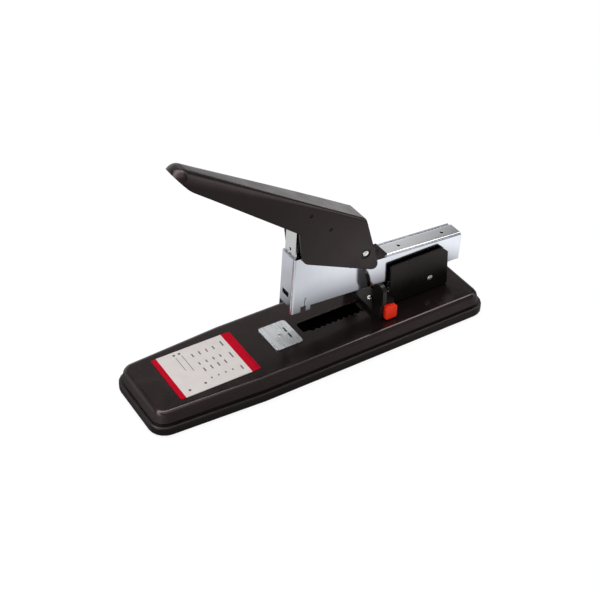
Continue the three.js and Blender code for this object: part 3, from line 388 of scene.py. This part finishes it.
def copied(node):
    """A merged copy of a CAD node's mesh, with its flat faces whole again."""
    solid = bmesh.new()
    solid.from_mesh(frame["nodes"][node].data)
    bmesh.ops.remove_doubles(solid, verts=solid.verts, dist=1e-6)
    bmesh.ops.dissolve_limit(
        solid, angle_limit=math.radians(0.5), verts=solid.verts, edges=solid.edges,
        use_dissolve_boundaries=False,
    )
    return solid


def softened(node, finish, width=0.25, sharp=35):
    """Stands for a CAD node with the same shape, its sharp edges eased."""
    solid = eased(copied(node), width * MM, sharp)
    return finished(solid, node + "_finished", finish, body_of[node], [node])


def smooth_wire(node, finish, bends=False):
    """Stands for a CAD spring with the same wire, rounded."""
    body = None if bends else body_of[node]
    return finished(copied(node), node + "_finished", finish, body, [node], subdivide=2)


def springs():
    """The three springs with their wires rounded: two ride on their bodies, each with its own mesh, and the coil
    on the handle pin has no body.
    """
    lift = smooth_wire("lift_spring", "zinc_steel")
    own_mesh(lift)
    feed = smooth_wire("pusher_spring", "zinc_steel")
    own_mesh(feed)
    coil = smooth_wire("return_spring", "zinc_steel", bends=True)
    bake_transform(coil)


def corner_reach(before, corner, after, radius):
    """How far along its edges a corner's rounding of some radius starts."""
    half = (Vector(before) - Vector(corner)).angle(Vector(after) - Vector(corner)) / 2
    return radius / math.tan(half)


def outline_face(corners, segments=6):
    """A flat face in X and Z whose corners are (x, z, radius)."""
    solid = bmesh.new()
    points = [solid.verts.new((x, 0, z)) for x, z, radius in corners]
    solid.faces.new(points)
    for i, (x, z, radius) in enumerate(corners):
        if radius == 0:
            continue
        before = corners[i - 1][:2]
        after = corners[(i + 1) % len(corners)][:2]
        bmesh.ops.bevel(
            solid, geom=[points[i]], offset=corner_reach(before, (x, z), after, radius),
            offset_type="OFFSET", segments=segments, profile=0.5, affect="VERTICES", material=-1,
        )
    return solid


def spread_across(solid, half):
    """Spreads a face that lies in the middle plane to a solid across Y."""
    bmesh.ops.translate(solid, verts=solid.verts, vec=(0, -half, 0))
    grown = bmesh.ops.extrude_face_region(solid, geom=solid.faces[:])
    far = [item for item in grown["geom"] if isinstance(item, bmesh.types.BMVert)]
    bmesh.ops.translate(solid, verts=far, vec=(0, 2 * half, 0))
    bmesh.ops.recalc_face_normals(solid, faces=solid.faces)
    return solid


def carved(solid, cutters, operation="DIFFERENCE"):
    """Cuts other solids out of a solid, or keeps what they have in common."""
    helpers = []
    for index, shape in enumerate([solid, *cutters]):
        mesh = bpy.data.meshes.new(f"helper_{index}")
        shape.to_mesh(mesh)
        shape.free()
        helper = bpy.data.objects.new(f"helper_{index}", mesh)
        bpy.context.scene.collection.objects.link(helper)
        helpers.append(helper)
    for cutter in helpers[1:]:
        carving = helpers[0].modifiers.new("carving", "BOOLEAN")
        carving.operation = operation
        carving.solver = "EXACT"
        carving.object = cutter
    bpy.context.view_layer.update()
    ready = helpers[0].evaluated_get(bpy.context.evaluated_depsgraph_get())
    result = bmesh.new()
    result.from_mesh(ready.to_mesh())
    ready.to_mesh_clear()
    for helper in helpers:
        mesh = helper.data
        bpy.data.objects.remove(helper)
        bpy.data.meshes.remove(mesh)
    return result


def rod_across(x, z, radius, half, sides=48):
    """A cylinder across Y."""
    solid = bmesh.new()
    bmesh.ops.create_cone(
        solid, cap_ends=True, segments=sides, radius1=radius, radius2=radius, depth=2 * half,
        matrix=Matrix.Translation((x, 0, z)) @ Matrix.Rotation(math.pi / 2, 4, "X"),
    )
    return solid


# ---------------------------------------------------------------- handle


def handle_outline():
    """The side of the pressed handle, in the handle's frame; its top stands clear of the pressing."""
    return [
        (HANDLE_REAR_TOP, HANDLE_TOP, 2.5),
        (*SKIRT_REAR, 5),
        (*SKIRT_FRONT, 9),
        (*THROAT, 3),
        (*GRIP_START, 60),
        (*GRIP_BEND, 28),
        (HANDLE_TIP - 1, TIP_RIM, 0),
        (HANDLE_TIP - 1, HANDLE_TOP, 0),
    ]


def press_section(solid, x, half, top, fillet):
    """One loop across the handle: a tall rectangle whose upper corners are rounded."""
    bottom = -40
    corners = [(-half, bottom), (half, bottom), (half, top), (-half, top)]
    points = [solid.verts.new((x, y, z)) for y, z in corners]
    solid.faces.new(points)
    bmesh.ops.bevel(
        solid, geom=points[2:], offset=fillet, offset_type="OFFSET", segments=8, profile=0.5,
        affect="VERTICES", material=-1,
    )


def handle_pressing():
    """The handle's outer skin: crisp over the pivot, rounder toward the grip, domed at the tip."""
    solid = bmesh.new()
    fillets = [(30, 2.4), (-50, 2.4), (-80, 3.2), (-110, 4.6), (-140, 6.2), (-165, 7.6), (-178, TIP_FILLET)]
    for x, fillet in fillets:
        press_section(solid, x, HANDLE_HALF, HANDLE_TOP, fillet)
    steps = 9
    for step in range(steps + 1):
        turn = math.radians(88 * step / steps)
        x = HANDLE_TIP + TIP_CORNER * (1 - math.sin(turn))
        half = HANDLE_HALF - TIP_CORNER * (1 - math.cos(turn))
        top = HANDLE_TOP - TIP_NOSE * (1 - math.cos(turn))
        press_section(solid, x, half, top, min(TIP_FILLET, half - 0.3))
    solid.faces.ensure_lookup_table()
    loops = sorted(solid.faces, key=lambda face: -face.verts[0].co.x)
    rings = [list(face.edges) for face in loops]
    inner = loops[1:-1]
    bmesh.ops.delete(solid, geom=inner, context="FACES_ONLY")
    for near, far in zip(rings, rings[1:]):
        bmesh.ops.bridge_loops(solid, edges=near + far)
    bmesh.ops.recalc_face_normals(solid, faces=solid.faces)
    return solid


def handle_shell():
    """Pressed from one sheet: filleted sides, a domed tip, open below and behind."""
    solid = carved(
        handle_pressing(), [spread_across(outline_face(handle_outline(), 8), HANDLE_HALF + 1)], "INTERSECT",
    )
    bmesh.ops.remove_doubles(solid, verts=solid.verts, dist=0.001)
    solid.normal_update()
    below = [
        face for face in solid.faces
        if abs(face.normal.y) < 0.2 and (face.normal.z < -0.05 or face.normal.x > 0.4)
    ]
    bmesh.ops.delete(solid, geom=below, context="FACES")
    bmesh.ops.solidify(solid, geom=solid.faces[:], thickness=HANDLE_SHEET)
    bores = [rod_across(0, 0, PIVOT_HOLE, 20)]
    bores += [rod_across(x, z, CROSS_PIN_HOLE, 20, 24) for x, z in CROSS_PINS]
    shell = carved(solid, bores)
    bmesh.ops.remove_doubles(shell, verts=shell.verts, dist=0.001)
    eased(shell, 0.25, 40)
    bmesh.ops.transform(shell, matrix=HANDLE, verts=shell.verts)
    finished(shell, "handle_shell_finished", "handle_enamel", "handle", ["handle_shell"])


# ---------------------------------------------------------------- label


def label_film():
    """The label with its four corners rounded."""
    solid = copied("label_plate")
    upright = []
    for edge in solid.edges:
        run = edge.verts[0].co - edge.verts[1].co
        if abs(run.normalized().z) > 0.9:
            upright.append(edge)
    bmesh.ops.bevel(
        solid, geom=upright, offset=2.6 * MM, offset_type="OFFSET", segments=6, profile=0.5,
        affect="EDGES", material=-1,
    )
    made = finished(solid, "label_plate_finished", "label_film", "base", ["label_plate"])
    made.data.set_sharp_from_angle(angle=math.radians(30))


def printed_marks():
    """Short dashes in rows, as a plain ruled table, printed on the label's panel."""
    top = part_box("label_plate")[1].z
    marks = bmesh.new()
    columns = [-92.4, -86.4, -80.4, -74.4]
    for row, length, shift in [(-15.5, 1.9, 0.6), (-4.6, 4.6, 0.4), (3.4, 3.2, 0.2), (14.5, 4.2, 0)]:
        for column in columns:
            add_dash(marks, column + shift, row, 1.1, length, top)
    for row, length in [(-17.0, 4.6), (0.0, 6.6), (15.6, 6.0)]:
        add_dash(marks, -66.6, row, 1.2, length, top)
    finished(marks, "label_dashes", "print_grey", "base")
    rules = bmesh.new()
    for column, middle, length in [(-99.6, 8.5, 21), (-104.8, 10, 17)]:
        add_dash(rules, column, middle, 0.4, length, top)
    for column, middle in [(-100.4, 21.6), (-104.9, 21.6), (-98.6, -18.6), (-112.4, -19.6)]:
        add_dash(rules, column, middle, 1.8, 1.8, top)
    finished(rules, "label_rules", "print_black", "base")


def add_dash(marks, x, y, width, length, top):
    """A dash of ink in millimetres, a hair proud of the film."""
    place = Matrix.Translation((x * MM, y * MM, top + 0.015 * MM))
    size = Matrix.Diagonal((width * MM, length * MM, 0.03 * MM, 1))
    bmesh.ops.create_cube(marks, size=1, matrix=place @ size)


def struck_anvil():
    """The anvil plate, its struck hollows given a dark finish as painted shade in the recesses."""
    solid = eased(copied("anvil_plate"), 0.2 * MM)
    low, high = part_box("anvil_plate")
    middle = (low + high) / 2
    reach = (high - low) * 0.4
    sunk = high.z - 0.02 * MM
    made = finished(
        solid, "anvil_plate_finished", "anvil_plate", "base", ["anvil_plate"],
    )
    # Faces sunk below the face get the dark finish: painted shade in the anvil's hollows.
    made.data.materials.append(finishes["anvil_hollow_shade"])
    for face in made.data.polygons:
        away = face.center - middle
        if face.center.z < sunk and abs(away.x) < reach.x and abs(away.y) < reach.y:
            face.material_index = 1


# ---------------------------------------------------------------- feet


def foot_pads():
    """Round rubber feet with a rounded rim and a screw sunk in the middle."""
    bore = 2.2 * MM
    well = 3.4 * MM
    rim = 0.4 * MM
    screw_radius = 2.0 * MM
    for index in range(1, 5):
        node = f"foot_{index}"
        low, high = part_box(node)
        middle = (low + high) / 2
        radius = (high.x - low.x) / 2
        profile = [
            (bore, high.z), (radius, high.z), (radius, low.z + rim), (radius - rim, low.z),
            (well, low.z), (bore, low.z + 0.9 * MM), (bore, high.z),
        ]
        pad = lathed(profile, middle, 48)
        finished(pad, node + "_finished", "foot_rubber", "base", [node])
        head = [
            (0, low.z + 0.5 * MM), (1.6 * MM, low.z + 0.6 * MM), (screw_radius, low.z + 0.9 * MM),
            (screw_radius, low.z + 1.3 * MM), (0, low.z + 1.3 * MM),
        ]
        screw = lathed(head, middle, 32)
        slots = [slot_cutter(middle, low.z + 0.35 * MM, turn) for turn in (0, math.pi / 2)]
        finished(carved(screw, slots), f"foot_screw_{index}", "zinc_steel", "base")


def slot_cutter(middle, height, turn):
    """One arm of the cross in a screw's head."""
    cutter = bmesh.new()
    size = Matrix.Diagonal((2.2 * MM, 0.5 * MM, 1.0 * MM, 1))
    place = Matrix.Translation((middle.x, middle.y, height))
    bmesh.ops.create_cube(cutter, size=1, matrix=place @ Matrix.Rotation(turn, 4, "Z") @ size)
    return cutter


def lathed(profile, middle, steps):
    """Turns a profile of (radius, height) about an upright axis."""
    solid = bmesh.new()
    points = [solid.verts.new((middle.x + radius, middle.y, height)) for radius, height in profile]
    rails = [solid.edges.new(pair) for pair in zip(points, points[1:])]
    bmesh.ops.spin(
        solid, geom=points + rails, cent=middle, axis=(0, 0, 1), angle=2 * math.pi, steps=steps,
        use_merge=True, use_duplicate=False,
    )
    bmesh.ops.remove_doubles(solid, verts=solid.verts, dist=1e-7)
    bmesh.ops.recalc_face_normals(solid, faces=solid.faces)
    return solid


# ---------------------------------------------------------------- stage


def clear_of_base(tree):
    """How far a point of the floor lies beyond the base's outline."""
    where = add_node(tree, "ShaderNodeTexCoord")
    outward = add_node(tree, "ShaderNodeVectorMath", operation="ABSOLUTE")
    tree.links.new(where.outputs["Object"], outward.inputs[0])
    beyond = add_node(tree, "ShaderNodeVectorMath", operation="SUBTRACT")
    beyond.inputs[1].default_value = (0.15, 0.0425, 0)
    tree.links.new(outward.outputs[0], beyond.inputs[0])
    clear = add_node(tree, "ShaderNodeVectorMath", operation="MAXIMUM")
    tree.links.new(beyond.outputs[0], clear.inputs[0])
    away = add_node(tree, "ShaderNodeVectorMath", operation="LENGTH")
    tree.links.new(clear.outputs[0], away.inputs[0])
    return away.outputs["Value"]


def floor_mirror_painted_shade(tree):
    """The floor's level in mirrors: painted shade close by the base, standing in for its shadow, and white again
    further out.
    """
    # The dim band right beside the base is painted shade, seen only in mirrors.
    beside = greys_along(tree, clear_of_base(tree), [
        (0.0, 0.2), (0.008, 0.24), (0.018, 0.36), (0.028, 0.66), (0.045, 0.94), (0.065, 0.92),
        (0.12, 0.5), (0.25, 0.45), (0.8, 0.6),
    ])
    across = place_along(tree, "Y")
    # Painted reflection levels: dimmer on the far side, brighter toward the rear.
    far_side_share = ranged(tree, across, -0.04, 0.04, 1.0, 0.72)
    rear_share = ranged(tree, place_along(tree, "X"), 0.045, 0.11, 0.88, 1.34)
    near = worked(tree, "MULTIPLY", beside, worked(tree, "MULTIPLY", far_side_share, rear_share))
    behind = greys_along(tree, worked(tree, "MULTIPLY", across, 0.5), [
        (0.03, 0.0), (0.037, 0.32), (0.055, 0.54), (0.12, 0.7), (0.28, 1.0), (0.5, 0.88), (0.83, 0.5),
    ])
    far = worked(tree, "MULTIPLY", behind, 1.25)
    level = worked(tree, "MAXIMUM", near, far)
    mirrored = add_node(tree, "ShaderNodeEmission")
    tree.links.new(level, mirrored.inputs["Strength"])
    return mirrored.outputs["Emission"]


def floor_finish():
    """Pale paper that takes a shadow, white to the eye, and graded in mirrors with painted shade close by the
    base.
    """
    material, tree, shader = new_finish("floor_paper", 0.9)
    shader.inputs["Base Color"].default_value = (0.86, 0.86, 0.86, 1)
    shader.inputs["Specular IOR Level"].default_value = 0
    path = add_node(tree, "ShaderNodeLightPath")
    paper = either_shader(tree, path.outputs["Is Glossy Ray"], shader.outputs["BSDF"], floor_mirror_painted_shade(tree))
    seen = worked(tree, "MAXIMUM", path.outputs["Is Camera Ray"], path.outputs["Is Transmission Ray"])
    white_share = worked(tree, "MULTIPLY", seen, 0.8)
    glow = add_node(tree, "ShaderNodeEmission")
    glow.inputs["Color"].default_value = (1, 1, 1, 1)
    glow.inputs["Strength"].default_value = 1.1
    floor = either_shader(tree, white_share, paper, glow.outputs["Emission"])
    tree.links.new(floor, tree.nodes["Material Output"].inputs["Surface"])
    return material


def lay_floor():
    plane = bmesh.new()
    bmesh.ops.create_grid(plane, x_segments=1, y_segments=1, size=8)
    mesh = bpy.data.meshes.new("floor")
    plane.to_mesh(mesh)
    plane.free()
    mesh.materials.append(floor_finish())
    floor = bpy.data.objects.new("floor", mesh)
    bpy.context.scene.collection.objects.link(floor)


def hang_world():
    """An even pale room; in mirrors it has a dim wall, a dark gap, a bright strip and a dark ceiling."""
    world = bpy.data.worlds.new("studio")
    bpy.context.scene.world = world
    world.use_nodes = True
    tree = world.node_tree
    room = tree.nodes["Background"]
    room.inputs["Color"].default_value = (0.97, 0.985, 1.0, 1)
    room.inputs["Strength"].default_value = 0.55
    where = add_node(tree, "ShaderNodeTexCoord")
    slant = add_node(tree, "ShaderNodeVectorMath", operation="DOT_PRODUCT")
    half_slant = math.sqrt(0.5) / 2
    slant.inputs[1].default_value = (0, -half_slant, half_slant)
    tree.links.new(where.outputs["Generated"], slant.inputs[0])
    bands = greys_along(tree, worked(tree, "ADD", slant.outputs["Value"], 0.5), [
        (0.0, 0.15), (0.35, 0.155), (0.44, 0.083), (0.49, 0.087), (0.506, 0.01), (0.62, 0.01),
        (0.66, 1.0), (0.76, 1.0), (0.80, 0.04), (1.0, 0.08),
    ])
    mirrored = add_node(tree, "ShaderNodeBackground")
    strength = ranged(tree, place_along(tree, "X", "Generated"), 0.56, 0.62, 7, 2.1)
    tree.links.new(strength, mirrored.inputs["Strength"])
    tree.links.new(bands, mirrored.inputs["Color"])
    path = add_node(tree, "ShaderNodeLightPath")
    bright = add_node(tree, "ShaderNodeBackground")
    bright.inputs["Color"].default_value = (1, 1, 1, 1)
    surround = either_shader(
        tree, path.outputs["Is Glossy Ray"], room.outputs["Background"], mirrored.outputs["Background"],
    )
    seen = worked(tree, "MAXIMUM", path.outputs["Is Camera Ray"], path.outputs["Is Transmission Ray"])
    whole = either_shader(tree, seen, surround, bright.outputs["Background"])
    tree.links.new(whole, tree.nodes["World Output"].inputs["Surface"])


def hang_lamp(name, place, aim, width, depth, power):
    data = bpy.data.lights.new(name, "AREA")
    data.shape = "RECTANGLE"
    data.size = width
    data.size_y = depth
    data.energy = power
    lamp = bpy.data.objects.new(name, data)
    bpy.context.scene.collection.objects.link(lamp)
    lamp.location = place
    lamp.rotation_euler = (Vector(aim) - Vector(place)).to_track_quat("-Z", "Y").to_euler()


def set_camera():
    """A long lens one metre away, toward the front of the near side and above."""
    data = bpy.data.cameras.new("view")
    data.lens = 77.32
    data.sensor_width = 36
    camera = bpy.data.objects.new("view", data)
    bpy.context.scene.collection.objects.link(camera)
    azimuth = math.radians(-31.419)
    elevation = math.radians(38.076)
    back = Vector((
        math.sin(azimuth) * math.cos(elevation),
        -math.cos(azimuth) * math.cos(elevation),
        math.sin(elevation),
    ))
    aim = Vector((-0.0035, 0.0020, 0.0455))
    camera.location = aim + back
    camera.rotation_euler = (-back).to_track_quat("-Z", "Y").to_euler()
    bpy.context.scene.camera = camera


# ---------------------------------------------------------------- putting it together

bpy.context.scene.view_settings.view_transform = "Standard"
finishes = {**enamels(), **plastics(), **metals()}
low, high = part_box("label_plate")
finishes["label_film"] = printed_film("label_film", low.x + 4.4 * MM, high.x - 7.6 * MM)

softened("base_tray", "tray_plastic")
softened("base_cover", "cover_enamel")
foot_pads()
softened("anvil_support", "zinc_steel")
struck_anvil()
softened("anvil_rivet", "zinc_steel")
label_film()
printed_marks()
softened("rear_bracket", "bracket_enamel", 0.4)
for number in (1, 2):
    softened(f"bracket_rivet_{number}", "zinc_steel")
    softened(f"saddle_rivet_{number}", "bracket_enamel", 0.15)
    softened(f"cross_pin_{number}", "bracket_enamel", 0.15)
softened("hinge_pin", "zinc_steel", 0.15)
softened("handle_pin", "pin_chrome", 0.15)
softened("guide_rivet", "pin_chrome", 0.15)
springs()

softened("magazine_channel", "magazine_plate", 0.15)
softened("core_rail", "zinc_steel", 0.15)
# The head cover takes the darker copy of the plating, which is painted shade.
softened("head_cover", "shaded_head_plate", 0.2)
softened("saddle_bracket", "bracket_enamel")
softened("magazine_yoke", "bracket_enamel")
softened("magazine_end_cap", "tray_plastic", 0.5)
softened("pusher_rod", "zinc_steel")
softened("staple_pusher", "zinc_steel", 0.15)
softened("driver_blade", "blade_steel", 0.2)
softened("driver_carrier", "zinc_steel", 0.15)
softened("drive_pin", "zinc_steel", 0.25)

handle_shell()
softened("drive_lever", "zinc_steel")
for side in ("left", "right"):
    softened(f"lever_spacer_{side}", "zinc_steel", 0.15)
    softened(f"pivot_washer_{side}", "handle_enamel", 0.15)

softened("paper_guide", "guide_plastic", 0.4)
softened("guide_shoe", "tray_plastic")
softened("release_button", "button_red", 0.3)
softened("lock_pawl", "zinc_steel", 0.15)

lay_floor()
hang_world()
hang_lamp("overhead", (-0.15, 0.05, 1.2), (0, 0, 0), 1.3, 1.0, 7)
set_camera()
